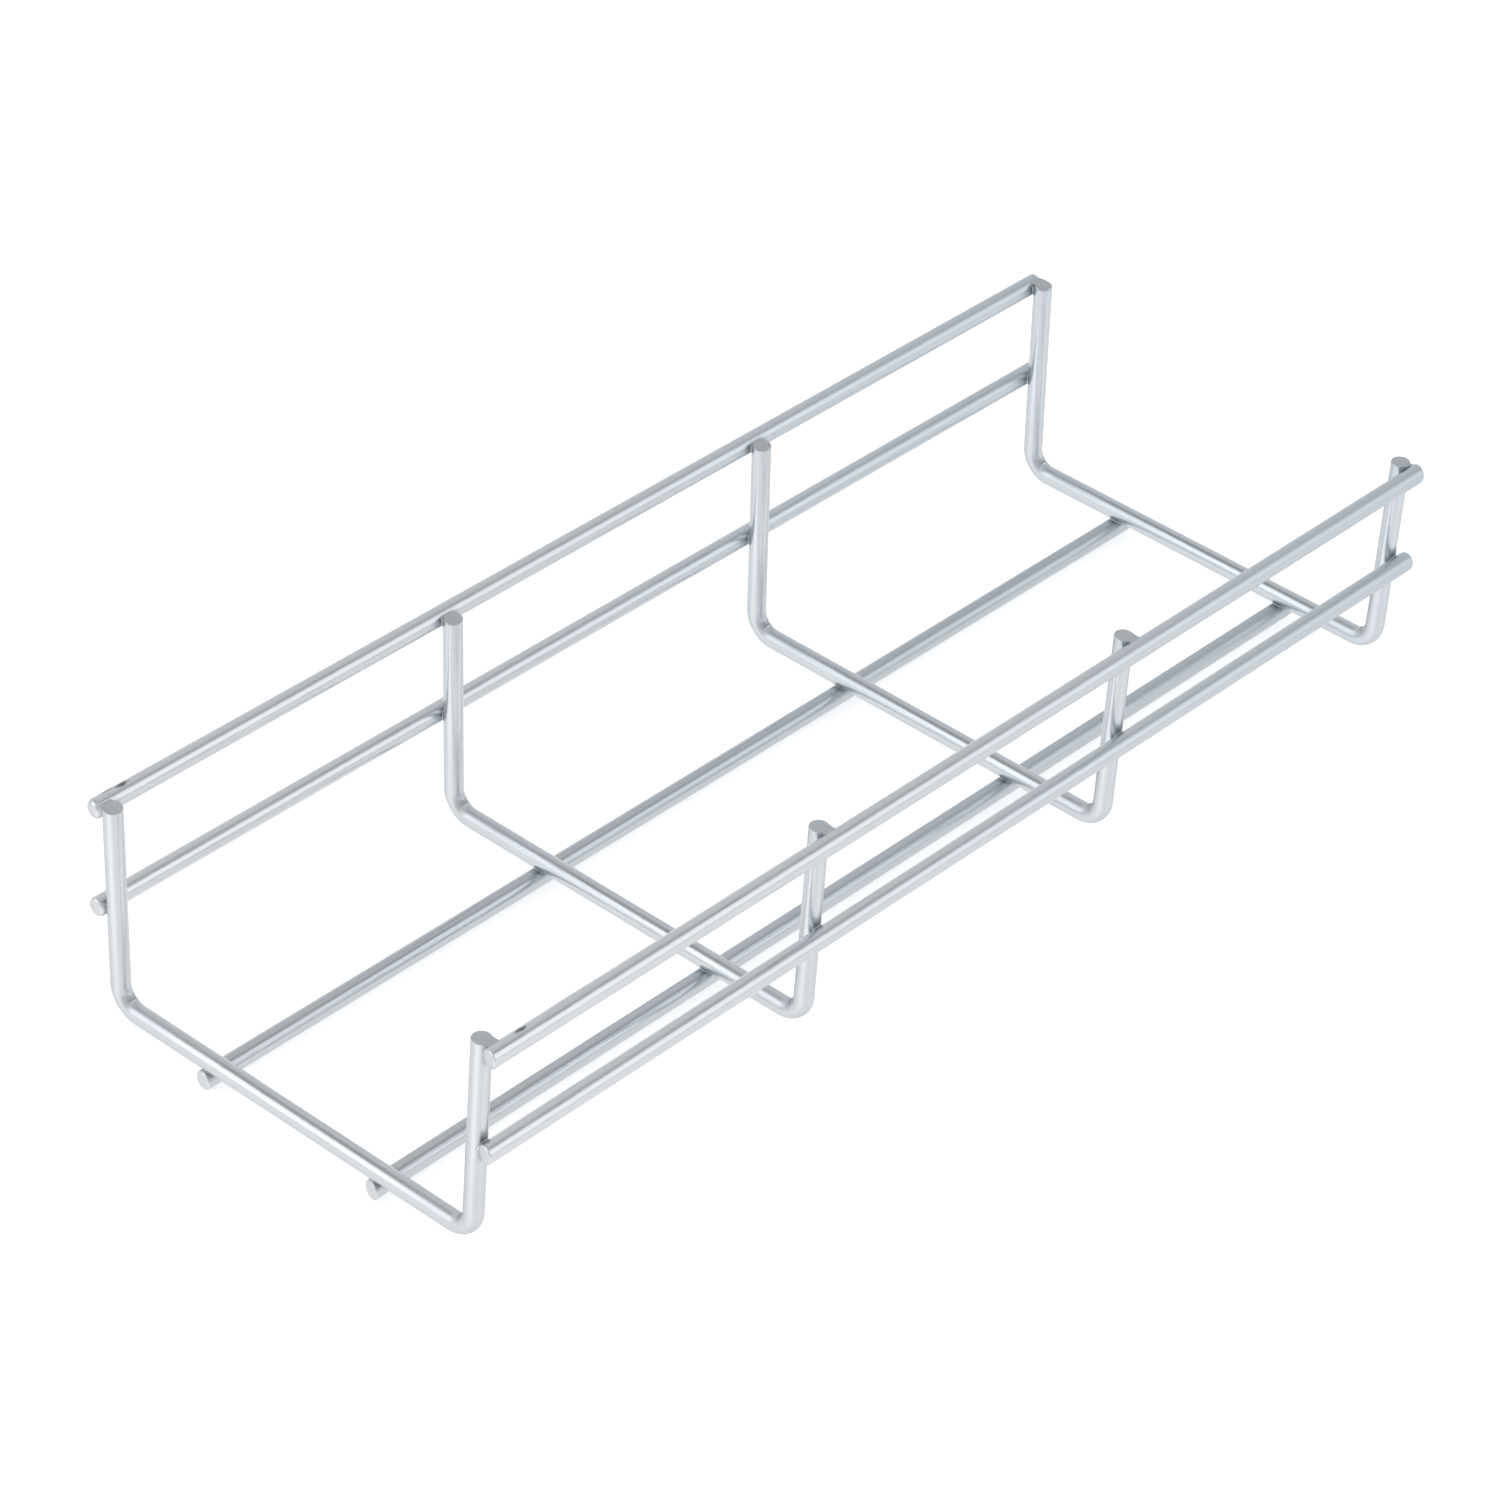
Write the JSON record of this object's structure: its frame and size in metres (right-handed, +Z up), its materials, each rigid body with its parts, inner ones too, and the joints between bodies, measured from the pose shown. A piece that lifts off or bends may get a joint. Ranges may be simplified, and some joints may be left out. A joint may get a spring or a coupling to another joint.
{
  "type": "wire mesh cable basket",
  "caption": "Open-topped U-shaped basket of welded round steel wire that carries cables along a run; formed cross wires hold straight long wires under the floor and outside both walls.",
  "frame": {"origin": "centre of the bounding box's bottom face, level with the undersides of the floor wires", "axes": "+X along the basket from the first cross wire to the last, +Y across it to the left wall, +Z up"},
  "size_m": [0.3064, 0.1196, 0.0579],
  "materials": {
    "zinc_wire": "bright zinc plated, satin gloss"
  },
  "bodies": {
    "root": {"cross_wire_1": "zinc_wire", "cross_wire_2": "zinc_wire", "cross_wire_3": "zinc_wire", "cross_wire_4": "zinc_wire", "floor_wire_left": "zinc_wire", "floor_wire_right": "zinc_wire", "lower_side_wire_left": "zinc_wire", "lower_side_wire_right": "zinc_wire", "top_wire_left": "zinc_wire", "top_wire_right": "zinc_wire"}
  },
  "joints": []
}
